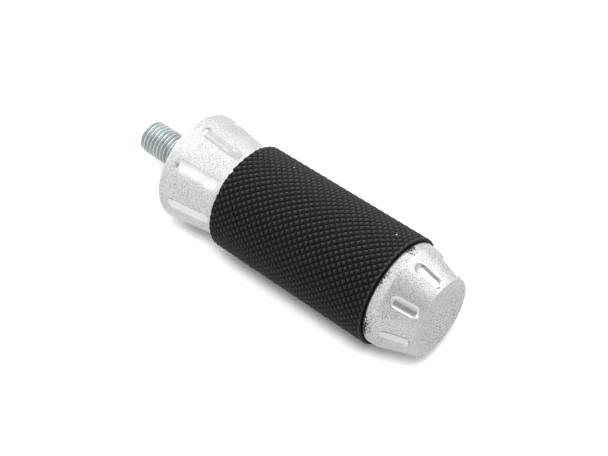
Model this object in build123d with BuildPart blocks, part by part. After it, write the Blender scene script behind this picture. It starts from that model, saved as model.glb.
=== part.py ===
from build123d import *
import math
import os

os.makedirs("parts", exist_ok=True)

# ------------------------------------------------------------------
# Rubber-covered foot peg on a threaded stud.  Millimetres.
# +X runs along the peg from the stud to the end cap.
# Origin: centre of the collar's back face, where the stud leaves it.
# +Z points through one of the eight flutes.
# ------------------------------------------------------------------

# thread, 5/16-24 UNF
THREAD_D = 7.938            # major diameter
THREAD_P = 25.4 / 24        # pitch
THREAD_DEPTH = 0.6134 * THREAD_P
THREAD_PITCH_R = 3.62       # pitch radius: where engaged threads are drawn to meet
STUD_OUT = 15.6             # length standing out of the collar
STUD_CHAMFER = 0.65
STUD_END = 61.4             # inner end, inside the cap's blind hole

# collar
COLLAR_LEN = 15.7
COLLAR_RIM_R = 13.05        # at the back rim
COLLAR_RIM_X = 0.9
COLLAR_MID = (8.85, 11.85)  # the taper is slightly hollow: (x, radius) half way along it
COLLAR_END_R = 10.9         # where it meets the rubber
COLLAR_EDGE = 0.7           # rounding of the back rim
COUNTERSINK_R = 4.35
FLUTES = 8

# spigots and tube
SPIGOT_R = 6.0
SPIGOT_LEN = 9.0
TUBE_OD = 16.0
TUBE_ID = 12.0

# rubber
GRIP_OD = 25.4
GRIP_LEN = 42.0

# end cap
CAP_LEN = 10.8
CAP_CROWN_R = 11.85         # widest, just outside the rubber's end
CAP_ROLL_R = 0.7            # rounding of the shoulder's edge next to the rubber
CAP_BAND = (2.4, 11.74)     # (from the rubber's end, radius): where the shoulder band ends
CAP_CONE_R = 9.02           # radius of the cone at the lip
CAP_LIP_X = 0.35            # length of the lip's rounding
CAP_LIP_R = 8.67            # radius of the lip's crest
DISH_DEPTH = 2.1
TAP_DEPTH_X = 62.2          # bottom of the blind tapped hole

# flute and slot cutters (ball nosed)
FLUTE_R = 2.0
FLUTE_A = (4.2, 13.93)      # (x, radius) of the ball centre at the rim end
FLUTE_B = (12.6, 12.86)     # and at the rubber end
SLOT_R = 1.9

# slotted spring pins
PIN_R = 1.25
PIN_WALL = 0.5
PIN_SLIT = 0.6
PIN_LEN = 15.6               # just under flush with the tube

GRIP_X0 = COLLAR_LEN
GRIP_X1 = COLLAR_LEN + GRIP_LEN
CAP_TIP = GRIP_X1 + CAP_LEN
PIN_X_COLLAR = GRIP_X0 + 5.0
PIN_X_CAP = GRIP_X1 - 5.0

SLOT_A = (GRIP_X1 + 5.3, 12.15)
SLOT_B = (GRIP_X1 + 8.7, 10.98)


def at_x(x):
    """Plane across the peg at x, looking towards +X."""
    return Plane(origin=(x, 0, 0), x_dir=(0, 1, 0), z_dir=(1, 0, 0))


def spoke(x, r, angle):
    """Point at x, radius r, turned by angle (degrees) from +Z."""
    t = math.radians(angle)
    return Vector(x, -r * math.sin(t), r * math.cos(t))


# a half-section sketch: local x is the peg's axis, local y the radius
SECTION = Plane(origin=(0, 0, 0), x_dir=(1, 0, 0), z_dir=(0, -1, 0))


# ------------------------------------------------------------------
# Mounting stud: threaded steel rod.  The exposed thread is drawn as
# rings at the true pitch and depth.
# ------------------------------------------------------------------
root_r = THREAD_D / 2 - THREAD_DEPTH
crest = THREAD_P / 8
root = THREAD_P / 4
flank = (THREAD_P - crest - root) / 2
rows = int(STUD_OUT / THREAD_P) + 1

pts = [(STUD_END, 0), (STUD_END, THREAD_PITCH_R - 0.5), (STUD_END - 0.5, THREAD_PITCH_R)]
pts += [(0, THREAD_PITCH_R), (0, THREAD_D / 2)]
x = -crest / 2
for i in range(rows):
    pts.append((x, THREAD_D / 2))
    pts.append((x - flank, root_r))
    pts.append((x - flank - root, root_r))
    pts.append((x - 2 * flank - root, THREAD_D / 2))
    x -= THREAD_P
pts += [(x - 0.5, THREAD_D / 2), (x - 0.5, 0)]

with BuildPart() as mounting_stud:
    with BuildSketch(SECTION):
        with BuildLine():
            Polyline(*pts, close=True)
        make_face()
    revolve(axis=Axis.X)
    # cut to length with a chamfered end
    with BuildSketch(SECTION):
        with BuildLine():
            Polyline(
                (STUD_END + 1, 0),
                (STUD_END + 1, THREAD_D),
                (-STUD_OUT + STUD_CHAMFER, THREAD_D),
                (-STUD_OUT + STUD_CHAMFER, THREAD_D / 2),
                (-STUD_OUT, THREAD_D / 2 - STUD_CHAMFER),
                (-STUD_OUT, 0),
                close=True,
            )
        make_face()
    revolve(axis=Axis.X, mode=Mode.INTERSECT)
    # cross holes for the two spring pins
    for px in (PIN_X_COLLAR, PIN_X_CAP):
        with BuildSketch(Plane.XY.offset(-6)):
            with Locations((px, 0)):
                Circle(PIN_R)
        extrude(amount=12, mode=Mode.SUBTRACT)
mounting_stud.part.label = "mounting_stud"

# ------------------------------------------------------------------
# Mount collar: aluminium casting, flat back face, eight flutes,
# tapped through, with a spigot that fits the tube.
# ------------------------------------------------------------------
with BuildPart() as mount_collar:
    with BuildSketch(SECTION):
        with BuildLine():
            Polyline((0, THREAD_PITCH_R - 0.2), (0, COLLAR_RIM_R), (COLLAR_RIM_X, COLLAR_RIM_R))
            ThreePointArc(
                (COLLAR_RIM_X, COLLAR_RIM_R),
                COLLAR_MID,
                (COLLAR_LEN, COLLAR_END_R),
            )
            Polyline(
                (COLLAR_LEN, COLLAR_END_R),
                (COLLAR_LEN, SPIGOT_R),
                (COLLAR_LEN + SPIGOT_LEN - 0.6, SPIGOT_R),
                (COLLAR_LEN + SPIGOT_LEN, SPIGOT_R - 0.6),
                (COLLAR_LEN + SPIGOT_LEN, THREAD_PITCH_R - 0.2),
                (0, THREAD_PITCH_R - 0.2),
            )
        make_face()
    revolve(axis=Axis.X)
    # round the back rim and blend it into the taper
    rim = mount_collar.edges().filter_by(GeomType.CIRCLE).filter_by(lambda e: abs(e.radius - COLLAR_RIM_R) < 1e-3)
    fillet(rim.sort_by(Axis.X)[0], COLLAR_EDGE)
    # tapped hole with a countersunk mouth
    with BuildSketch(at_x(-1)):
        Circle(THREAD_PITCH_R)
    extrude(amount=COLLAR_LEN + SPIGOT_LEN + 2, mode=Mode.SUBTRACT)
    with BuildSketch(SECTION):
        with BuildLine():
            Polyline(
                (-0.5, 0), (-0.5, COUNTERSINK_R + 0.5), (COUNTERSINK_R - THREAD_PITCH_R, THREAD_PITCH_R),
                (COUNTERSINK_R - THREAD_PITCH_R, 0), close=True,
            )
        make_face()
    revolve(axis=Axis.X, mode=Mode.SUBTRACT)
    # cross hole for the spring pin
    with BuildSketch(Plane.XY.offset(-7)):
        with Locations((PIN_X_COLLAR, 0)):
            Circle(PIN_R)
    extrude(amount=14, mode=Mode.SUBTRACT)
    # flutes
    for i in range(FLUTES):
        turn = i * 360 / FLUTES
        a = spoke(*FLUTE_A, turn)
        b = spoke(*FLUTE_B, turn)
        with BuildSketch(Plane(origin=a, x_dir=spoke(0, 1, turn - 90), z_dir=b - a)):
            Circle(FLUTE_R)
        extrude(amount=(b - a).length, mode=Mode.SUBTRACT)
        with Locations(a, b):
            Sphere(FLUTE_R, mode=Mode.SUBTRACT)
mount_collar.part.label = "mount_collar"

# ------------------------------------------------------------------
# Core tube: takes the clamp load between the two castings and
# carries the rubber.
# ------------------------------------------------------------------
with BuildPart() as core_tube:
    with BuildSketch(at_x(GRIP_X0)):
        Circle(TUBE_OD / 2)
        Circle(TUBE_ID / 2, mode=Mode.SUBTRACT)
    extrude(amount=GRIP_LEN)
    for px in (PIN_X_COLLAR, PIN_X_CAP):
        with BuildSketch(Plane.XY.offset(-TUBE_OD)):
            with Locations((px, 0)):
                Circle(PIN_R)
        extrude(amount=2 * TUBE_OD, mode=Mode.SUBTRACT)
core_tube.part.label = "core_tube"

# ------------------------------------------------------------------
# Rubber grip sleeve: plain at the knurl's crest diameter.
# ------------------------------------------------------------------
with BuildPart() as grip_sleeve:
    with BuildSketch(at_x(GRIP_X0)):
        Circle(GRIP_OD / 2)
        Circle(TUBE_OD / 2, mode=Mode.SUBTRACT)
    extrude(amount=GRIP_LEN)
grip_sleeve.part.label = "grip_sleeve"

# ------------------------------------------------------------------
# End cap: aluminium casting with a rolled shoulder, a cone with
# eight slots, a dished end and a blind tapped spigot.
# ------------------------------------------------------------------
roll = math.radians(60)                         # how far the rounding turns down to the rubber's face
crown = (GRIP_X1 + CAP_ROLL_R * math.sin(roll), CAP_CROWN_R)
base = (GRIP_X1, CAP_CROWN_R - CAP_ROLL_R * (1 - math.cos(roll)))
band = (GRIP_X1 + CAP_BAND[0], CAP_BAND[1])
cone_start = (band[0] + 0.4, band[1] - 0.075)
cone_end = (CAP_TIP - CAP_LIP_X, CAP_CONE_R)

with BuildPart() as end_cap:
    with BuildSketch(SECTION):
        with BuildLine():
            Polyline(
                (GRIP_X1 - SPIGOT_LEN, 0),
                (GRIP_X1 - SPIGOT_LEN, SPIGOT_R - 0.6),
                (GRIP_X1 - SPIGOT_LEN + 0.6, SPIGOT_R),
                (GRIP_X1, SPIGOT_R),
                base,
            )
            # shoulder: a rounded edge, a nearly cylindrical band, then a soft bend into the cone
            ThreePointArc(
                base,
                (crown[0] - CAP_ROLL_R * math.sin(roll / 2), CAP_CROWN_R - CAP_ROLL_R * (1 - math.cos(roll / 2))),
                crown,
            )
            Line(crown, band)
            ThreePointArc(band, (band[0] + 0.2, band[1] - 0.027), cone_start)
            Line(cone_start, cone_end)
            # rounded lip, then the dish
            ThreePointArc(cone_end, (CAP_TIP - 0.1, CAP_LIP_R + 0.24), (CAP_TIP, CAP_LIP_R))
            ThreePointArc(
                (CAP_TIP, CAP_LIP_R),
                (CAP_TIP - 0.75 * DISH_DEPTH, CAP_LIP_R / 2),
                (CAP_TIP - DISH_DEPTH, 0),
            )
            Line((CAP_TIP - DISH_DEPTH, 0), (GRIP_X1 - SPIGOT_LEN, 0))
        make_face()
    revolve(axis=Axis.X)
    rings = end_cap.edges().filter_by(GeomType.CIRCLE)
    fillet(rings.filter_by(lambda e: abs(e.radius - CAP_LIP_R) < 1e-3), 0.15)
    # blind tapped hole
    with BuildSketch(at_x(GRIP_X1 - SPIGOT_LEN - 1)):
        Circle(THREAD_PITCH_R)
    extrude(amount=TAP_DEPTH_X - (GRIP_X1 - SPIGOT_LEN - 1), mode=Mode.SUBTRACT)
    # cross hole for the spring pin
    with BuildSketch(Plane.XY.offset(-7)):
        with Locations((PIN_X_CAP, 0)):
            Circle(PIN_R)
    extrude(amount=14, mode=Mode.SUBTRACT)
    # slots
    for i in range(FLUTES):
        turn = i * 360 / FLUTES
        a = spoke(*SLOT_A, turn)
        b = spoke(*SLOT_B, turn)
        with BuildSketch(Plane(origin=a, x_dir=spoke(0, 1, turn - 90), z_dir=b - a)):
            Circle(SLOT_R)
        extrude(amount=(b - a).length, mode=Mode.SUBTRACT)
        with Locations(a, b):
            Sphere(SLOT_R, mode=Mode.SUBTRACT)
end_cap.part.label = "end_cap"

# ------------------------------------------------------------------
# Slotted spring pins: one through the tube, the collar's spigot and
# the stud, the other through the tube, the cap's spigot and the stud.
# ------------------------------------------------------------------
with BuildPart() as collar_roll_pin:
    with BuildSketch(Plane.XY.offset(-PIN_LEN / 2)):
        with Locations((PIN_X_COLLAR, 0)):
            Circle(PIN_R)
            Circle(PIN_R - PIN_WALL, mode=Mode.SUBTRACT)
        with Locations((PIN_X_COLLAR + PIN_R - PIN_WALL / 2, 0)):
            Rectangle(2 * PIN_WALL, PIN_SLIT, mode=Mode.SUBTRACT)
    extrude(amount=PIN_LEN)
collar_roll_pin.part.label = "collar_roll_pin"

with BuildPart() as cap_roll_pin:
    with BuildSketch(Plane.XY.offset(-PIN_LEN / 2)):
        with Locations((PIN_X_CAP, 0)):
            Circle(PIN_R)
            Circle(PIN_R - PIN_WALL, mode=Mode.SUBTRACT)
        with Locations((PIN_X_CAP - PIN_R + PIN_WALL / 2, 0)):
            Rectangle(2 * PIN_WALL, PIN_SLIT, mode=Mode.SUBTRACT)
    extrude(amount=PIN_LEN)
cap_roll_pin.part.label = "cap_roll_pin"

export_step(mounting_stud.part, "parts/mounting_stud.step")
export_step(mount_collar.part, "parts/mount_collar.step")
export_step(core_tube.part, "parts/core_tube.step")
export_step(grip_sleeve.part, "parts/grip_sleeve.step")
export_step(end_cap.part, "parts/end_cap.step")
export_step(collar_roll_pin.part, "parts/collar_roll_pin.step")
export_step(cap_roll_pin.part, "parts/cap_roll_pin.step")
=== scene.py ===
import math

import bmesh
import bpy
import numpy as np
from mathutils import Matrix, Vector


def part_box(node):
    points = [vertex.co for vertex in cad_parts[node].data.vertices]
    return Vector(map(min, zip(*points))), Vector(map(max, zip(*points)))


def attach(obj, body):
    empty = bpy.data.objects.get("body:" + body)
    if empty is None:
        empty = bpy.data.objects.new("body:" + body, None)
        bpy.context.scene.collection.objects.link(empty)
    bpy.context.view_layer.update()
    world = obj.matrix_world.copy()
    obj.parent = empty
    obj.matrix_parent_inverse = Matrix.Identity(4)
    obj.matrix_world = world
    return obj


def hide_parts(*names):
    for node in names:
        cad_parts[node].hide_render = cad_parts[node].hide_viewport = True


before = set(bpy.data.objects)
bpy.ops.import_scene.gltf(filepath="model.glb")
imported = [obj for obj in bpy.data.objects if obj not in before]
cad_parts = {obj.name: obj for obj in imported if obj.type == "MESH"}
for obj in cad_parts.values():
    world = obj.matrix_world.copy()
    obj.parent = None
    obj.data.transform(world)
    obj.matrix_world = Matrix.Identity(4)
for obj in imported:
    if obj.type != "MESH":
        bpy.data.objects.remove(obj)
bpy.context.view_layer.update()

MM = 0.001

# ------------------------------------------------------------------
# sizes, in mm, along the peg's axis (+X); they follow the CAD nodes
# ------------------------------------------------------------------
lo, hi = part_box("grip_sleeve")
GRIP_X0, GRIP_X1, GRIP_R = lo.x / MM, hi.x / MM, hi.z / MM
lo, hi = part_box("core_tube")
TUBE_R = hi.z / MM
lo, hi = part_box("mounting_stud")
STUD_X0, STUD_X1, STUD_R = lo.x / MM, hi.x / MM, hi.z / MM
lo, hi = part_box("end_cap")
CAP_X0, CAP_TIP = lo.x / MM, hi.x / MM
lo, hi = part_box("mount_collar")
COLLAR_X1 = hi.x / MM
FLOOR_Z = lo.z

PITCH = 25.4 / 24
THREAD_PITCH_R = 3.62
KNURL = 0.42                # depth of the rubber's diamonds
DISH = 2.1                  # depth of the cap's hollow end
TUBE_IR = 6.0
rng = np.random.default_rng(7)


# ------------------------------------------------------------------
# mesh helpers
# ------------------------------------------------------------------
def new_object(name, verts, faces, body="root", smooth=True):
    """verts in mm."""
    mesh = bpy.data.meshes.new(name)
    mesh.from_pydata((np.asarray(verts, float) * MM).tolist(), [], faces)
    mesh.validate()
    mesh.update()
    if smooth:
        mesh.polygons.foreach_set("use_smooth", [True] * len(mesh.polygons))
    obj = bpy.data.objects.new(name, mesh)
    bpy.context.scene.collection.objects.link(obj)
    return obj


def outward(obj, sharp_deg=None):
    """Consistent outward normals; edges sharper than sharp_deg stay crisp."""
    bm = bmesh.new()
    bm.from_mesh(obj.data)
    bmesh.ops.recalc_face_normals(bm, faces=bm.faces)
    if sharp_deg is not None:
        limit = math.radians(sharp_deg)
        for e in bm.edges:
            if len(e.link_faces) == 2 and e.calc_face_angle(0.0) > limit:
                e.smooth = False
    bm.to_mesh(obj.data)
    bm.free()
    obj.data.update()


def lathe(rows, thetas):
    """Closed band of quads: rows is a list of (x array, r array) over thetas, joined in order, wrapping in theta.
    A row whose radius is 0 everywhere becomes a single point."""
    n = len(thetas)
    c, s = np.cos(thetas), np.sin(thetas)
    verts, index = [], []
    for x, r in rows:
        x = np.broadcast_to(np.asarray(x, float), (n,))
        r = np.broadcast_to(np.asarray(r, float), (n,))
        if np.all(r < 1e-6):
            index.append([len(verts)] * n)
            verts.append((x[0], 0.0, 0.0))
        else:
            index.append(list(range(len(verts), len(verts) + n)))
            verts.extend(zip(x, -r * s, r * c))
    faces = []
    for a, b in zip(index[:-1], index[1:]):
        for j in range(n):
            k = (j + 1) % n
            quad = [a[j], a[k], b[k], b[j]]
            tidy = [v for i, v in enumerate(quad) if v not in quad[:i]]
            if len(tidy) > 2:
                faces.append(tidy)
    return verts, faces, index


def sector_angles(count, half_deg, fine_deg, coarse_deg):
    """Angles (radians) round the part, close together within half_deg of each of count evenly spaced features."""
    step = 360.0 / count
    n_fine = int(round(2 * half_deg / fine_deg))
    n_coarse = max(2, int(round((step - 2 * half_deg) / coarse_deg)))
    out = []
    for i in range(count):
        a = i * step
        out += list(a - half_deg + 2 * half_deg * np.arange(n_fine) / n_fine)
        out += list(a + half_deg + (step - 2 * half_deg) * np.arange(n_coarse) / n_coarse)
    return np.radians(np.array(out))


def grooved(x, land, thetas, count, groove):
    """Radius round the part at one station, with count shallow grooves.
    groove: half width (mm), length of the rounded plan ends, stations (start, full, ramp, end), depth.
    Across, it is part of a circle."""
    half, nose, (x0, xf, xr, x1), depth = groove
    out = np.full_like(thetas, land)
    if not x0 < x < x1:
        return out
    rise = min(1.0, (x - x0) / (xf - x0))
    fall = min(1.0, (x1 - x) / (x1 - xr))
    d = depth * math.sin(rise * math.pi / 2) * (fall if x1 - xr > 2 else math.sin(fall * math.pi / 2))
    w = half
    for gap in (x - x0, x1 - x):
        if gap < nose:
            w = min(w, half * math.sqrt(max(1e-4, 1 - (1 - gap / nose) ** 2)))
    step = 2 * math.pi / count
    phi = (thetas + step / 2) % step - step / 2
    u = np.abs(phi) * land / w
    rho = (1 + (depth / half) ** 2) / (2 * depth / half)
    arc = (np.sqrt(np.maximum(rho ** 2 - u ** 2, 0.0)) - math.sqrt(rho ** 2 - 1)) / (rho - math.sqrt(rho ** 2 - 1))
    # the lip is slightly eased
    shape = 0.5 * (arc + np.sqrt(arc ** 2 + 0.0012))
    shape = np.where(u > min(1.6, rho), 0.0, shape)
    return out - d * shape


def point_values(obj, name, values):
    """Stores one number per vertex, for the materials to read."""
    att = obj.data.attributes.new(name, "FLOAT", "POINT")
    att.data.foreach_set("value", np.asarray(values, np.float32))


def polar(obj):
    """x, radius (mm) and angle from +Z towards -Y (degrees) of every vertex."""
    co = np.empty(len(obj.data.vertices) * 3, np.float32)
    obj.data.vertices.foreach_get("co", co)
    co = co.reshape(-1, 3).astype(float) / MM
    return co[:, 0], np.hypot(co[:, 1], co[:, 2]), np.degrees(np.arctan2(-co[:, 1], co[:, 2]))


def cut_mask(obj, xs, rs):
    """1 on the walls of the flutes or slots, 0 on the outside they are cut into; (xs, rs) is that outside's profile."""
    x, r, _ = polar(obj)
    below = np.interp(x, xs, rs) - r
    inside = (x > xs[0]) & (x < xs[-1]) & (r > 8.2)
    point_values(obj, "cut", np.where(inside, np.clip((below - 0.02) / 0.10, 0, 1), 0))


def line_points(p, q, n):
    return [(p[0] + (q[0] - p[0]) * t, p[1] + (q[1] - p[1]) * t) for t in np.linspace(0, 1, n + 1)[1:]]


def cross_hole(obj, x, r):
    """Drills the spring pin's hole through a piece, along Z."""
    n = 32
    a = np.arange(n) * 2 * math.pi / n
    verts = [(x + r * math.cos(t), r * math.sin(t), -7.2) for t in a] + [(x + r * math.cos(t), r * math.sin(t), 7.2) for t in a]
    faces = [[i, (i + 1) % n, n + (i + 1) % n, n + i] for i in range(n)] + [list(range(n))[::-1], list(range(n, 2 * n))]
    tool = new_object("tool", verts, faces, smooth=False)
    outward(tool)
    mod = obj.modifiers.new("hole", "BOOLEAN")
    mod.operation = "DIFFERENCE"
    mod.solver = "EXACT"
    mod.object = tool
    deps = bpy.context.evaluated_depsgraph_get()
    mesh = bpy.data.meshes.new_from_object(obj.evaluated_get(deps))
    obj.modifiers.clear()
    old = obj.data
    obj.data = mesh
    mesh.name = obj.name
    bpy.data.meshes.remove(old)
    bpy.data.objects.remove(tool)


# ------------------------------------------------------------------
# mount collar: cast aluminium, eight soft-edged flutes
# ------------------------------------------------------------------
def build_collar():
    thetas = sector_angles(8, 9.6, 0.4, 1.6)
    x0, x1 = 0.0, GRIP_X0
    rim_r, end_r, edge = 13.05, 10.9, 0.75
    # each flute is steep at the rim end and ramps out gently at the rubber's end
    flute = (1.52, 1.5, (2.6, 3.5, 10.6, 14.5), 0.52)

    # outside: rounded rim, then the slightly hollow taper through three points
    rim = [(0.0, rim_r - edge)]
    rim += [(edge - edge * math.cos(t), rim_r - edge + edge * math.sin(t)) for t in np.linspace(0, math.pi / 2, 11)[1:]]
    p1, p2, p3 = np.array([edge, rim_r]), np.array([8.85, 11.85]), np.array([x1, end_r])
    m = np.array([p2 - p1, p3 - p1])
    rhs = 0.5 * np.array([(p2 @ p2 - p1 @ p1), (p3 @ p3 - p1 @ p1)])
    c = np.linalg.solve(m, rhs)
    rad_c = np.linalg.norm(p1 - c)
    sign = -1 if c[1] > 12 else 1

    def land(x):
        if x <= edge:
            return rim_r
        return c[1] + sign * math.sqrt(rad_c ** 2 - (x - c[0]) ** 2)

    rows = []
    # bore, from the spigot's end back to the countersunk mouth
    sx = COLLAR_X1
    for x, r in [(sx, THREAD_PITCH_R), (sx - 4, THREAD_PITCH_R), (sx - 9, THREAD_PITCH_R), (8, THREAD_PITCH_R), (0.73, THREAD_PITCH_R)]:
        rows.append((x, r))
    rows += line_points((0.73, THREAD_PITCH_R), (0.0, 4.35), 3)
    rows += line_points((0.0, 4.35), (0.0, rim_r - edge), 12)
    rows += rim[1:]
    xs = np.concatenate([np.arange(0.95, 2.4, 0.3), np.arange(2.5, 6.0, 0.12), np.arange(6.0, 11.6, 0.35), np.arange(11.6, 15.2, 0.13), [15.35]])
    rows += [(x, land(x)) for x in xs]
    rows += [(x1 - 0.12, land(x1 - 0.12)), (x1, land(x1) - 0.12)]
    rows += line_points((x1, land(x1) - 0.12), (x1, TUBE_IR), 6)
    rows += [(x1 + 3, TUBE_IR), (x1 + 6, TUBE_IR), (sx - 0.6, TUBE_IR), (sx, TUBE_IR - 0.6), (sx, THREAD_PITCH_R)]

    out = []
    for x, r in rows:
        rr = np.full_like(thetas, r)
        if r > 10 and 1.2 < x < 15.4:
            rr = grooved(x, r, thetas, 8, flute)
        out.append((x, rr))
    verts, faces, _ = lathe(out, thetas)
    obj = new_object("collar_casting", verts, faces)
    bm = bmesh.new()
    bm.from_mesh(obj.data)
    bmesh.ops.remove_doubles(bm, verts=bm.verts, dist=1e-8)
    bmesh.ops.recalc_face_normals(bm, faces=bm.faces)
    bm.to_mesh(obj.data)
    bm.free()
    cross_hole(obj, GRIP_X0 + 5.0, 1.25)
    outward(obj, 50)
    px = np.linspace(edge + 0.3, x1 - 0.2, 60)
    cut_mask(obj, px, np.array([land(v) for v in px]))
    return obj


# ------------------------------------------------------------------
# end cap: rolled shoulder, cone with eight slots, dished end
# ------------------------------------------------------------------
def build_cap():
    thetas = sector_angles(8, 11.0, 0.45, 1.8)
    g = GRIP_X1
    crown_r, roll_r, roll = 11.85, 0.7, math.radians(60)
    crown_x = g + roll_r * math.sin(roll)
    band = (g + 2.4, 11.74)                             # the shoulder's nearly cylindrical band ends here
    cs, ce = (g + 2.8, 11.665), (CAP_TIP - 0.35, 9.02)  # the cone
    slot = (1.40, 1.3, (g + 3.85, g + 4.75, g + 9.3, g + 10.1), 0.60)

    tip = CAP_TIP
    rows = [(CAP_X0 + 13.5, 0.0)]                       # bottom of the blind hole
    rows += line_points((CAP_X0 + 13.5, 0.0), (CAP_X0 + 13.5, THREAD_PITCH_R), 3)
    rows += [(CAP_X0 + 8, THREAD_PITCH_R), (CAP_X0 + 4, THREAD_PITCH_R), (CAP_X0, THREAD_PITCH_R)]
    rows += [(CAP_X0, TUBE_IR - 0.6), (CAP_X0 + 0.6, TUBE_IR), (CAP_X0 + 4, TUBE_IR), (g, TUBE_IR)]
    rows += line_points((g, TUBE_IR), (g, crown_r - roll_r * (1 - math.cos(roll))), 6)
    for t in np.linspace(roll, 0, 7)[1:]:
        rows.append((crown_x - roll_r * math.sin(t), crown_r - roll_r * (1 - math.cos(t))))
    rows += line_points((crown_x, crown_r), band, 5)
    rows += [(band[0] + 0.1, band[1] - 0.0105), (band[0] + 0.2, band[1] - 0.027), (band[0] + 0.3, band[1] - 0.049), cs]
    n = int((ce[0] - cs[0]) / 0.13)
    rows += line_points(cs, ce, n)
    # lip: a convex round that turns over into the dish
    lip = [(tip - 0.35 + 0.35 * math.sin(t), ce[1] - 0.35 * (1 - math.cos(t))) for t in np.linspace(0.28, 1.57, 7)]
    rows += lip
    lr = lip[-1][1] - 0.2
    rows.append((tip - 0.03, lip[-1][1] - 0.12))
    depth = DISH
    base = tip - 0.06
    R = (lr * lr + depth * depth) / (2 * depth)
    a1 = math.asin(lr / R)
    for t in np.linspace(a1, 0, 26):
        rows.append((base - depth + R * (1 - math.cos(t)), R * math.sin(t)))
    rows[-1] = (rows[-1][0], 0.0)

    out = []
    for x, r in rows:
        rr = np.full_like(thetas, r)
        if r > 8.6 and g + 3.2 < x < tip - 0.3:
            rr = grooved(x, r, thetas, 8, slot)
        out.append((x, rr))
    verts, faces, _ = lathe(out, thetas)
    obj = new_object("cap_casting", verts, faces)
    outward(obj)
    cross_hole(obj, GRIP_X1 - 5.0, 1.25)
    outward(obj, 50)
    cut_mask(obj, np.array([cs[0] + 0.5, ce[0]]), np.array([np.interp(cs[0] + 0.5, [cs[0], ce[0]], [cs[1], ce[1]]), ce[1]]))
    return obj


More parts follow.
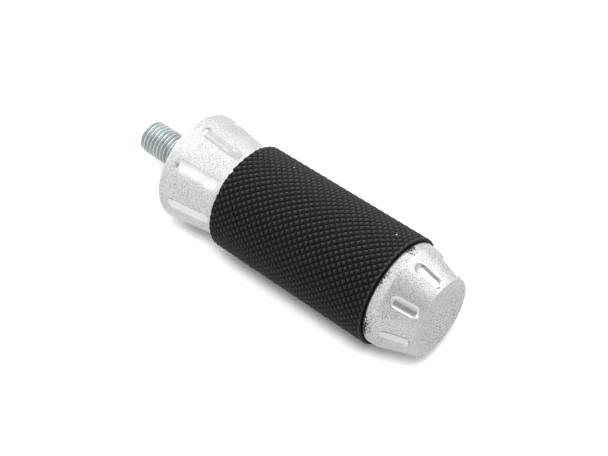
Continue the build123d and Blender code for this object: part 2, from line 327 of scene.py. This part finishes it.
# ------------------------------------------------------------------
# stud: real right-hand helical thread, chamfered tip
# ------------------------------------------------------------------
def build_stud():
    n = 120
    depth = 0.6134 * PITCH
    root_r = STUD_R - depth
    # one pitch of the thread form, rounded at crest and root (u in pitches, r)
    form = [
        (0.000, STUD_R), (0.070, STUD_R), (0.110, STUD_R - 0.045), (0.200, STUD_R - 0.22), (0.300, STUD_R - 0.43),
        (0.380, root_r + 0.075), (0.450, root_r + 0.015), (0.520, root_r), (0.590, root_r + 0.015), (0.660, root_r + 0.075),
        (0.740, STUD_R - 0.43), (0.840, STUD_R - 0.22), (0.930, STUD_R - 0.045), (0.970, STUD_R),
    ]
    thetas = np.arange(n) * 2 * math.pi / n
    turns_from, turns_to = -1.5, 1.5 + (-STUD_X0) / PITCH
    us, rs = [], []
    for k in range(int(turns_from) - 2, int(turns_to) + 3):
        for u, r in form:
            us.append(k + u)
            rs.append(r)
    us, rs = np.array(us), np.array(rs)
    m = len(form)
    verts = []
    for u, r in zip(us, rs):
        x = -(u + thetas / (2 * math.pi)) * PITCH      # right-hand helix
        verts.append(np.stack([x, -r * np.sin(thetas), r * np.cos(thetas)], 1))
    verts = np.array(verts)                            # rows x n x 3
    rows = len(us)
    idx = np.arange(rows * n).reshape(rows, n)
    faces = []
    for i in range(rows - 1):
        for j in range(n):
            if j < n - 1:
                faces.append([idx[i, j], idx[i, j + 1], idx[i + 1, j + 1], idx[i + 1, j]])
            elif i - m >= -1:
                # the seam joins a row to the one a pitch further on
                i2 = i - m
                if 0 <= i2 and i2 + 1 < rows:
                    faces.append([idx[i2, n - 1], idx[i, 0], idx[i + 1, 0], idx[i2 + 1, n - 1]])
    flat = verts.reshape(-1, 3)
    obj = new_object("stud_thread", flat, [[int(v) for v in f] for f in faces])
    bm = bmesh.new()
    bm.from_mesh(obj.data)
    # trim to the exposed length
    for x, nx in ((STUD_X0, -1.0), (0.25, 1.0)):
        geom = bm.verts[:] + bm.edges[:] + bm.faces[:]
        bmesh.ops.bisect_plane(bm, geom=geom, plane_co=(x * MM, 0, 0), plane_no=(nx, 0, 0), clear_outer=True)
    loose = [v for v in bm.verts if not v.link_faces]
    bmesh.ops.delete(bm, geom=loose, context="VERTS")
    # chamfer: pull the crests down to the cone at the tip
    for v in bm.verts:
        y, z = v.co.y, v.co.z
        r = math.hypot(y, z)
        limit = (STUD_R - 0.65 + max(0.0, (v.co.x / MM - STUD_X0))) * MM
        if r > limit:
            v.co.y, v.co.z = y * limit / r, z * limit / r
    # close the tip with a shallow dished face, and the inner end with a step to the plain shank
    for x, target in ((STUD_X0, None), (0.25, THREAD_PITCH_R - 0.02)):
        ring = [e for e in bm.edges if len(e.link_faces) == 1 and abs(e.verts[0].co.x - x * MM) < 1e-7 and abs(e.verts[1].co.x - x * MM) < 1e-7]
        if target is None:
            for f, dx in ((0.93, 0.0), (0.86, 0.02), (0.45, 0.05)):
                new = bmesh.ops.extrude_edge_only(bm, edges=ring)["geom"]
                vs = [g for g in new if isinstance(g, bmesh.types.BMVert)]
                prev = f if f == 0.93 else {0.86: 0.86 / 0.93, 0.45: 0.45 / 0.86}[f]
                for v in vs:
                    v.co.y *= prev
                    v.co.z *= prev
                    v.co.x = (x + dx) * MM
                ring = [g for g in new if isinstance(g, bmesh.types.BMEdge)]
                ring = [e for e in ring if all(v in vs for v in e.verts)]
            vs = list({v for e in ring for v in e.verts})
            c = bm.verts.new(((x + 0.06) * MM, 0, 0))
            for e in ring:
                bm.faces.new((e.verts[0], e.verts[1], c))
        else:
            steps = [(0.3, target), (STUD_X1 - 0.5, target), (STUD_X1, target - 0.5)]
            for xx, rr in steps:
                new = bmesh.ops.extrude_edge_only(bm, edges=ring)["geom"]
                vs = [g for g in new if isinstance(g, bmesh.types.BMVert)]
                for v in vs:
                    r = math.hypot(v.co.y, v.co.z)
                    v.co.y *= rr * MM / r
                    v.co.z *= rr * MM / r
                    v.co.x = xx * MM
                ring = [g for g in new if isinstance(g, bmesh.types.BMEdge)]
                ring = [e for e in ring if all(v in vs for v in e.verts)]
            c = bm.verts.new((STUD_X1 * MM, 0, 0))
            for e in ring:
                bm.faces.new((e.verts[0], e.verts[1], c))
    bmesh.ops.remove_doubles(bm, verts=bm.verts, dist=1e-8)
    bmesh.ops.recalc_face_normals(bm, faces=bm.faces)
    for f in bm.faces:
        f.smooth = True
    bm.to_mesh(obj.data)
    bm.free()
    outward(obj, 60)
    _, r, _ = polar(obj)
    point_values(obj, "high", np.clip((r - root_r) / depth, 0, 1))
    return obj


# ------------------------------------------------------------------
# rubber sleeve: diamond knurl moulded in, ragged cut ends
# ------------------------------------------------------------------
def build_sleeve():
    starts = 46
    p = 2 * math.pi * GRIP_R / starts          # spacing round the sleeve, and along it for 45 degree rows
    # positions inside one cell, in phase, and the height factor of each
    u = np.array([0.0, 0.10, 0.34, 0.5, 0.66, 0.90])
    depth = KNURL
    n = len(u)

    def height(fa, fb):
        da = np.minimum(fa, 1 - fa)
        db = np.minimum(fb, 1 - fb)
        d = np.minimum(da, db)                 # 0 in a groove, 0.5 at the peak
        h = np.clip((d - 0.05) / (0.40 - 0.05), 0, 1)
        return h * (1.12 - 0.12 * h * h)       # slightly rounded flanks

    length = GRIP_X1 - GRIP_X0
    verts, faces, key = [], [], {}

    def vertex(ia, ib):
        """ia, ib: sub-cell indices along the two helix families."""
        ca, sa = divmod(ia, n)
        cb, sb = divmod(ib, n)
        A, B = ca + u[sa], cb + u[sb]
        turn = math.floor((A + B) / (2 * starts) + 1e-9)
        k = (ia - turn * starts * n, ib - turn * starts * n)
        if k in key:
            return key[k]
        A -= turn * starts
        B -= turn * starts
        th = (A + B) * p / 2 / GRIP_R
        x = GRIP_X0 + (A - B) * p / 2
        h = float(height(u[sa], u[sb]))
        edge = min(abs(x - GRIP_X0), abs(x - GRIP_X1))
        r = GRIP_R - depth * (1 - h) * min(1.0, 0.40 + 0.60 * edge / 0.7)
        key[k] = len(verts)
        verts.append((x, -r * math.sin(th), r * math.cos(th)))
        return key[k]

    span = int(math.ceil(length / (p / 2))) + 3
    for diff in range(-2, span):
        for s in range(0, 2 * starts):
            if (s + diff) % 2:
                continue
            ca, cb = (s + diff) // 2, (s - diff) // 2
            for i in range(n):
                for j in range(n):
                    ia, ib = ca * n + i, cb * n + j
                    faces.append([vertex(ia, ib), vertex(ia + 1, ib), vertex(ia + 1, ib + 1), vertex(ia, ib + 1)])
    obj = new_object("knurled_sleeve", verts, faces)
    bm = bmesh.new()
    bm.from_mesh(obj.data)
    for x, nx in ((GRIP_X0, -1.0), (GRIP_X1, 1.0)):
        geom = bm.verts[:] + bm.edges[:] + bm.faces[:]
        bmesh.ops.bisect_plane(bm, geom=geom, plane_co=(x * MM, 0, 0), plane_no=(nx, 0, 0), clear_outer=True)
    loose = [v for v in bm.verts if not v.link_faces]
    bmesh.ops.delete(bm, geom=loose, context="VERTS")

    # the cut ends aren't perfectly clean: shallow tears, and one nick on the collar's side
    wob = np.cumsum(rng.normal(0, 1, 720))
    wob = (wob - np.linspace(wob[0], wob[-1], 720)) * 0.012 + rng.normal(0, 1, 720) * 0.035
    wob = np.clip(wob * 1.3 - np.percentile(wob, 20), 0, 0.30)
    for v in bm.verts:
        for x, sgn, amount in ((GRIP_X0, 1, 1.0), (GRIP_X1, -1, 0.12)):
            if abs(v.co.x - x * MM) < 1e-7:
                ang = math.degrees(math.atan2(-v.co.y, v.co.z)) % 360
                d = wob[int(ang * 2) % 720] * amount
                if sgn > 0:
                    d += 0.75 * math.exp(-((ang - 23.0) / 1.1) ** 2)
                v.co.x += sgn * d * MM
                v.tag = True

    # end faces down to the bore, then the bore itself
    m = 96
    bore_rings = []
    for x in (GRIP_X0, GRIP_X1):
        ring = [e for e in bm.edges if len(e.link_faces) == 1 and all(abs(v.co.x - x * MM) < 1.2 * MM for v in e.verts)]
        # a small step in, so the cut edge has a crisp outline
        new = bmesh.ops.extrude_edge_only(bm, edges=ring)["geom"]
        vs = [g for g in new if isinstance(g, bmesh.types.BMVert)]
        for v in vs:
            r = math.hypot(v.co.y, v.co.z)
            k = (GRIP_R - 0.75) * MM / r
            v.co.y *= k
            v.co.z *= k
            v.co.x = x * MM + 0.8 * (v.co.x - x * MM)
        inner = [g for g in new if isinstance(g, bmesh.types.BMEdge) and all(w in vs for w in g.verts)]
        bore = [bm.verts.new((x * MM, -TUBE_R * MM * math.sin(t), TUBE_R * MM * math.cos(t))) for t in np.arange(m) * 2 * math.pi / m]
        bore_e = [bm.edges.new((bore[i], bore[(i + 1) % m])) for i in range(m)]
        bmesh.ops.triangle_fill(bm, edges=inner + bore_e, use_beauty=True, use_dissolve=False)
        bore_rings.append(bore)
    for i in range(m):
        k = (i + 1) % m
        bm.faces.new((bore_rings[0][i], bore_rings[0][k], bore_rings[1][k], bore_rings[1][i]))
    bmesh.ops.recalc_face_normals(bm, faces=bm.faces)
    for f in bm.faces:
        f.smooth = True
    bm.to_mesh(obj.data)
    bm.free()
    outward(obj, 45)
    _, r, _ = polar(obj)
    point_values(obj, "high", np.clip((r - GRIP_R + depth) / depth, 0, 1))
    return obj


collar = build_collar()
cap = build_cap()
stud = build_stud()
sleeve = build_sleeve()
for piece, node, slot in (
    (collar, "mount_collar", "cast_aluminium"),
    (cap, "end_cap", "cast_aluminium"),
    (stud, "mounting_stud", "zinc_plated_steel"),
    (sleeve, "grip_sleeve", "knurled_rubber"),
):
    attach(piece, "root")
    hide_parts(node)


# ------------------------------------------------------------------
# materials
# ------------------------------------------------------------------
class Nodes:
    """Small helper round a material's node tree."""

    def __init__(self, name):
        self.mat = bpy.data.materials.new(name)
        self.mat.use_nodes = True
        self.t = self.mat.node_tree
        self.bsdf = next(n for n in self.t.nodes if n.type == "BSDF_PRINCIPLED")
        self.out = next(n for n in self.t.nodes if n.type == "OUTPUT_MATERIAL")

    def add(self, kind, **props):
        n = self.t.nodes.new(kind)
        for k, v in props.items():
            setattr(n, k, v)
        return n

    def link(self, a, b):
        self.t.links.new(a, b)

    def value(self, socket, v):
        if hasattr(v, "is_output") or isinstance(v, bpy.types.NodeSocket):
            self.link(v, socket)
        else:
            socket.default_value = v

    def coords(self, scale=(1, 1, 1)):
        tc = self.add("ShaderNodeTexCoord")
        mp = self.add("ShaderNodeMapping")
        mp.inputs["Scale"].default_value = scale
        self.link(tc.outputs["Object"], mp.inputs["Vector"])
        return mp.outputs["Vector"]

    def attribute(self, name):
        return self.add("ShaderNodeAttribute", attribute_name=name).outputs["Fac"]

    def noise(self, vec, scale, detail=4.0, rough=0.55, distort=0.0):
        n = self.add("ShaderNodeTexNoise")
        n.inputs["Scale"].default_value = scale
        n.inputs["Detail"].default_value = detail
        n.inputs["Roughness"].default_value = rough
        n.inputs["Distortion"].default_value = distort
        self.link(vec, n.inputs["Vector"])
        return n.outputs["Fac"]

    def voronoi(self, vec, scale, feature="F1", out="Distance", rand=1.0):
        n = self.add("ShaderNodeTexVoronoi")
        n.feature = feature
        n.inputs["Scale"].default_value = scale
        n.inputs["Randomness"].default_value = rand
        self.link(vec, n.inputs["Vector"])
        return n.outputs[out]

    def ramp(self, fac, stops, interp="LINEAR"):
        n = self.add("ShaderNodeValToRGB")
        n.color_ramp.interpolation = interp
        e = n.color_ramp.elements
        while len(e) > 1:
            e.remove(e[-1])
        e[0].position, e[0].color = stops[0][0], grey(stops[0][1])
        for pos, col in stops[1:]:
            k = e.new(pos)
            k.color = grey(col)
        self.link(fac, n.inputs["Fac"])
        return n.outputs["Color"]

    def remap(self, v, a, b, c=0.0, d=1.0, smooth=False):
        n = self.add("ShaderNodeMapRange")
        n.interpolation_type = "SMOOTHSTEP" if smooth else "LINEAR"
        self.link(v, n.inputs["Value"])
        n.inputs["From Min"].default_value = a
        n.inputs["From Max"].default_value = b
        n.inputs["To Min"].default_value = c
        n.inputs["To Max"].default_value = d
        return n.outputs["Result"]

    def math(self, op, a, b=0.0, clamp=False):
        n = self.add("ShaderNodeMath", operation=op, use_clamp=clamp)
        self.value(n.inputs[0], a)
        self.value(n.inputs[1], b)
        return n.outputs[0]

    def mix(self, fac, a, b, blend="MIX"):
        n = self.add("ShaderNodeMix", data_type="RGBA", blend_type=blend)
        self.value(n.inputs["Factor"], fac)
        self.value(n.inputs[6], grey(a) if not isinstance(a, bpy.types.NodeSocket) else a)
        self.value(n.inputs[7], grey(b) if not isinstance(b, bpy.types.NodeSocket) else b)
        return n.outputs[2]

    def bump(self, height, strength, distance, normal=None):
        n = self.add("ShaderNodeBump")
        n.inputs["Strength"].default_value = strength
        n.inputs["Distance"].default_value = distance
        self.link(height, n.inputs["Height"])
        if normal is not None:
            self.link(normal, n.inputs["Normal"])
        return n.outputs["Normal"]

    def separate(self, vec):
        n = self.add("ShaderNodeSeparateXYZ")
        self.link(vec, n.inputs[0])
        return n.outputs


def grey(c):
    if isinstance(c, (int, float)):
        return (c, c, c, 1.0)
    return tuple(c) + (1.0,) if len(c) == 3 else tuple(c)


def cast_aluminium(name, light, cut_grey, pitted, fleck_at, fleck_side, fleck_reach, fleck_arcs):
    """Blasted casting whose machined flutes and slots are smooth.
    light: how light the skin is; cut_grey: how light the cuts are; pitted: how dark the skin's pits are; fleck_at: station (mm) where the rubber's edge leaves black crumbs; fleck_arcs: (middle, half width) in degrees
    of the arcs round the peg, from +Z towards -Y, where there are most of them."""
    m = Nodes(name)
    v = m.coords()
    xyz = m.separate(v)
    x = xyz["X"]
    angle = m.math("MULTIPLY", m.math("ARCTAN2", m.math("MULTIPLY", xyz["Y"], -1.0), xyz["Z"]), 180 / math.pi)
    thick = None
    for middle, half in fleck_arcs:
        gap = m.math("ABSOLUTE", m.math("SUBTRACT", angle, float(middle)))
        arc = m.remap(gap, half * 0.5, half * 1.3, 1.0, 0.0)
        thick = arc if thick is None else m.math("MAXIMUM", thick, arc)
    smooth = m.attribute("cut")
    skin = m.math("SUBTRACT", 1.0, smooth)
    # grain of the blasted skin: dark pits about 0.3 mm apart over a finer mottle
    g1 = m.noise(v, 5000, 1.0, 0.5)
    g2 = m.noise(v, 9000, 1.0, 0.5)
    cloud = m.noise(v, 230, 3.0, 0.55)
    worn = m.noise(v, 75, 2.0, 0.5)
    pit = m.remap(g1, 0.34, 0.50, 1.0, 0.0)
    crest = m.remap(g1, 0.50, 0.66, 0.0, 1.0)
    amount = m.math("MULTIPLY", skin, m.remap(worn, 0.36, 0.60, 0.55, 1.0))
    base = m.mix(m.math("MULTIPLY", crest, 0.8), (0.425 * light, 0.433 * light, 0.429 * light), (0.50 * light, 0.508 * light, 0.504 * light))
    base = m.mix(m.math("MULTIPLY", m.math("MULTIPLY", pit, pitted), amount), base, (0.11, 0.112, 0.110))
    tone = m.ramp(cloud, [(0.3, (0.93, 0.935, 0.925)), (0.7, (1.0, 1.0, 1.0))])
    base = m.mix(1.0, base, tone, "MULTIPLY")
    base = m.mix(smooth, base, m.ramp(cloud, [(0.3, (0.94 * cut_grey, 0.955 * cut_grey, 0.94 * cut_grey)), (0.7, (1.05 * cut_grey, 1.065 * cut_grey, 1.05 * cut_grey))]))
    # painted shade: a thin dark line along the lips of the cuts, standing in for the shade at their edges
    lip = m.math("MULTIPLY", m.math("MULTIPLY", smooth, skin), 4.0, clamp=True)
    base = m.mix(m.math("MULTIPLY", lip, 0.22), base, (0.20, 0.20, 0.195))
    # black crumbs of rubber and cement next to the sleeve
    near = m.remap(x, (fleck_at - fleck_side * fleck_reach) * MM, fleck_at * MM, 0.0, 1.0)
    patch = m.noise(v, 190, 2.0, 0.5)
    crumbs = m.noise(v, 1700, 3.0, 0.6, 0.3)
    t = m.math("ADD", crumbs, m.math("MULTIPLY", m.math("SUBTRACT", patch, 0.5), 0.60))
    t = m.math("ADD", t, m.math("MULTIPLY", m.math("SUBTRACT", near, 1.0), 0.26))
    t = m.math("ADD", t, m.math("MULTIPLY", thick, 0.23))
    fleck = m.remap(t, 0.640, 0.660, 0.0, 1.0)
    fleck = m.math("MULTIPLY", m.math("GREATER_THAN", near, 0.02), fleck, clamp=True)
    m.link(m.mix(fleck, base, (0.016, 0.016, 0.017)), m.bsdf.inputs["Base Color"])
    m.link(m.remap(fleck, 0.0, 1.0, 1.0, 0.0), m.bsdf.inputs["Metallic"])
    rough = m.remap(g2, 0.3, 0.7, 0.40, 0.54)
    rough = m.math("ADD", m.math("MULTIPLY", rough, skin), m.math("MULTIPLY", m.remap(cloud, 0.3, 0.7, 0.19, 0.26), smooth))
    rough = m.math("MAXIMUM", rough, m.math("MULTIPLY", fleck, 0.75))
    m.link(rough, m.bsdf.inputs["Roughness"])
    h = m.math("ADD", m.math("MULTIPLY", g1, 1.0), m.math("MULTIPLY", g2, 0.35))
    h = m.math("MULTIPLY", h, m.math("ADD", m.math("MULTIPLY", skin, 0.92), 0.08))
    n1 = m.bump(cloud, 0.15, 0.00030)
    n2 = m.bump(h, 0.50, 0.00010, n1)
    m.link(m.bump(fleck, 0.6, 0.00012, n2), m.bsdf.inputs["Normal"])
    return m.mat


def zinc_steel(name):
    m = Nodes(name)
    v = m.coords()
    fine = m.noise(v, 3000, 3.0, 0.6)
    streak = m.noise(m.coords((0.35, 3.0, 3.0)), 900, 3.0, 0.6)
    cloud = m.noise(v, 450, 3.0, 0.6)
    base = m.ramp(cloud, [(0.3, (0.335, 0.37, 0.38)), (0.5, (0.405, 0.445, 0.453)), (0.75, (0.475, 0.515, 0.52))])
    # painted shade: the thread's roots are made darker by their depth, standing in for the shade in them
    base = m.mix(m.remap(m.attribute("high"), 0.05, 0.40, 0.35, 0.0), base, (0.28, 0.30, 0.30))
    m.link(base, m.bsdf.inputs["Base Color"])
    m.bsdf.inputs["Metallic"].default_value = 1.0
    rough = m.remap(m.math("ADD", m.math("MULTIPLY", fine, 0.5), m.math("MULTIPLY", streak, 0.5)), 0.35, 0.65, 0.26, 0.42)
    m.link(rough, m.bsdf.inputs["Roughness"])
    m.link(m.bump(m.math("ADD", fine, streak), 0.25, 0.00004), m.bsdf.inputs["Normal"])
    return m.mat


def plain_steel(name, light, rough_lo, rough_hi):
    m = Nodes(name)
    v = m.coords()
    along = m.noise(m.coords((0.08, 4.0, 4.0)), 700, 4.0, 0.6)
    cloud = m.noise(v, 300, 4.0, 0.6)
    c = m.ramp(m.math("ADD", m.math("MULTIPLY", along, 0.6), m.math("MULTIPLY", cloud, 0.4)),
               [(0.3, tuple(light * k for k in (0.78, 0.80, 0.83))), (0.7, (light, light * 1.0, light * 1.01))])
    m.link(c, m.bsdf.inputs["Base Color"])
    m.bsdf.inputs["Metallic"].default_value = 1.0
    m.link(m.remap(along, 0.3, 0.7, rough_lo, rough_hi), m.bsdf.inputs["Roughness"])
    m.link(m.bump(along, 0.2, 0.00003), m.bsdf.inputs["Normal"])
    return m.mat


def rubber(name):
    m = Nodes(name)
    v = m.coords()
    high = m.attribute("high")
    fine = m.noise(v, 6000, 3.0, 0.6)
    cloud = m.noise(v, 420, 3.0, 0.6)
    base = m.ramp(cloud, [(0.3, (0.0066, 0.0076, 0.0073)), (0.7, (0.0094, 0.0106, 0.0102))])
    # painted shade: the grooves are made darker by their depth, standing in for the shade in them, so the points read
    # greyer
    base = m.mix(m.remap(high, 0.0, 0.45, 0.80, 0.0), base, (0.0022, 0.0025, 0.0024))
    # painted highlight: the points are made lighter, in mottled patches, standing in for the light they catch
    highlight_mottle = m.noise(v, 130, 3.0, 0.5)
    top = m.math("MULTIPLY", m.remap(high, 0.62, 1.0, 0.0, 1.0), m.remap(highlight_mottle, 0.35, 0.65, 0.45, 1.0))
    base = m.mix(top, base, (0.0160, 0.0178, 0.0172))
    # a few pale specks of dust caught on the points
    specks = m.voronoi(v, 520, "F1", "Distance")
    seed = m.voronoi(v, 520, "F1", "Color")
    pick = m.math("GREATER_THAN", m.separate(seed)["X"], 0.970)
    dot = m.math("MULTIPLY", m.remap(specks, 0.080, 0.110, 1.0, 0.0), pick, clamp=True)
    base = m.mix(dot, base, (0.50, 0.49, 0.47))
    m.link(base, m.bsdf.inputs["Base Color"])
    m.link(m.remap(fine, 0.3, 0.7, 0.44, 0.60), m.bsdf.inputs["Roughness"])
    m.link(m.remap(high, 0.0, 0.8, 0.03, 0.14), m.bsdf.inputs["Specular IOR Level"])
    m.link(m.bump(fine, 0.30, 0.00004), m.bsdf.inputs["Normal"])
    return m.mat


def assign(obj, mat):
    obj.data.materials.clear()
    obj.data.materials.append(mat)


assign(collar, cast_aluminium("cast_aluminium_collar", 1.06, 0.50, 0.64, GRIP_X0, 1, 1.3, ((76, 16), (-150, 20))))
assign(cap, cast_aluminium("cast_aluminium_cap", 1.0, 0.445, 0.86, GRIP_X1, -1, 2.6, ((-10, 9), (27, 8), (82, 17), (-120, 14))))
assign(stud, zinc_steel("zinc_plated_steel"))
assign(sleeve, rubber("knurled_rubber"))
assign(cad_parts["core_tube"], plain_steel("tube_steel", 0.45, 0.30, 0.45))
spring = plain_steel("spring_steel", 0.22, 0.35, 0.5)
assign(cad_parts["collar_roll_pin"], spring)
assign(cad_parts["cap_roll_pin"], spring)

# ------------------------------------------------------------------
# floor, light, camera
# ------------------------------------------------------------------
fm = Nodes("floor_white")
fm.bsdf.inputs["Base Color"].default_value = (0.80, 0.813, 0.79, 1)
fm.bsdf.inputs["Roughness"].default_value = 0.9
bpy.ops.mesh.primitive_plane_add(size=3.0, location=(0.03, 0, FLOOR_Z))
floor = bpy.context.object
floor.name = "floor"
assign(floor, fm.mat)

# the studio is white all round but for a dim patch on one side, high up in front of the peg's end
world = bpy.data.worlds.new("studio")
world.use_nodes = True
wt = world.node_tree
tc = wt.nodes.new("ShaderNodeTexCoord")
dot = wt.nodes.new("ShaderNodeVectorMath")
dot.operation = "DOT_PRODUCT"
dot.inputs[1].default_value = (0.455, -0.515, 0.726)
wt.links.new(tc.outputs["Generated"], dot.inputs[0])
dim = wt.nodes.new("ShaderNodeMapRange")
dim.interpolation_type = "SMOOTHSTEP"
dim.inputs["From Min"].default_value = math.cos(math.radians(34))
dim.inputs["From Max"].default_value = math.cos(math.radians(15))
dim.inputs["To Min"].default_value = 1.22
dim.inputs["To Max"].default_value = 0.48
wt.links.new(dot.outputs["Value"], dim.inputs["Value"])
wt.nodes["Background"].inputs["Color"].default_value = (1.0, 1.0, 1.0, 1)
wt.links.new(dim.outputs["Result"], wt.nodes["Background"].inputs["Strength"])
bpy.context.scene.world = world

# four soft boxes light the peg; the floor gets the white room and an overhead box, so its shadow stays soft and close
lit = bpy.data.collections.new("lit_by_boxes")
for piece in (collar, cap, stud, sleeve):
    lit.objects.link(piece)
for node in ("core_tube", "collar_roll_pin", "cap_roll_pin"):
    lit.objects.link(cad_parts[node])


def soft_box(name, elevation, azimuth, power, receivers=None, size=0.34, reach=0.55):
    """Square soft box, reach metres from the peg's middle; azimuth from +X towards +Y."""
    el, az = math.radians(elevation), math.radians(azimuth)
    d = Vector((math.cos(el) * math.cos(az), math.cos(el) * math.sin(az), math.sin(el)))
    data = bpy.data.lights.new(name, "AREA")
    data.shape = "SQUARE"
    data.size = size
    data.energy = power
    obj = bpy.data.objects.new(name, data)
    obj.location = Vector((0.027, 0, 0)) + reach * d
    obj.rotation_euler = (-d).to_track_quat("-Z", "Y").to_euler()
    obj.visible_camera = False
    bpy.context.scene.collection.objects.link(obj)
    obj.light_linking.receiver_collection = receivers or lit
    return obj


overhead = bpy.data.collections.new("lit_by_overhead")
overhead.objects.link(floor)
soft_box("overhead", 65.5, 307, 21.5, overhead, 0.52, 1.5)
soft_box("key", 38, 180, 2.6)
soft_box("side", 38, 90, 1.10)
soft_box("top", 64, 60, 0.94)
soft_box("fill", 38, 243, 1.05, size=0.70)
rubber_only = bpy.data.collections.new("lit_by_rake")
rubber_only.objects.link(sleeve)
soft_box("rake", 33, 155, 2.6, rubber_only)

cam_data = bpy.data.cameras.new("camera")
cam_data.sensor_fit = "HORIZONTAL"
cam_data.sensor_width = 36.0
cam_data.lens = 71.06
cam_data.clip_start = 0.01
cam = bpy.data.objects.new("camera", cam_data)
right = Vector((0.74933768, 0.66218807, 0.0))
up = Vector((-0.48072617, 0.54399385, 0.68773035))
fwd = Vector((-0.45540683, 0.51534227, -0.72596623))
where = Vector((0.149559, -0.133198, 0.189156)) + 0.000061 * right - 0.000155 * up
roll = 0.0062
right, up = right * math.cos(roll) - up * math.sin(roll), up * math.cos(roll) + right * math.sin(roll)
cam.matrix_world = Matrix.Translation(where) @ Matrix((right, up, -fwd)).transposed().to_4x4()
bpy.context.scene.collection.objects.link(cam)
bpy.context.scene.camera = cam
bpy.context.scene.view_settings.view_transform = "Standard"
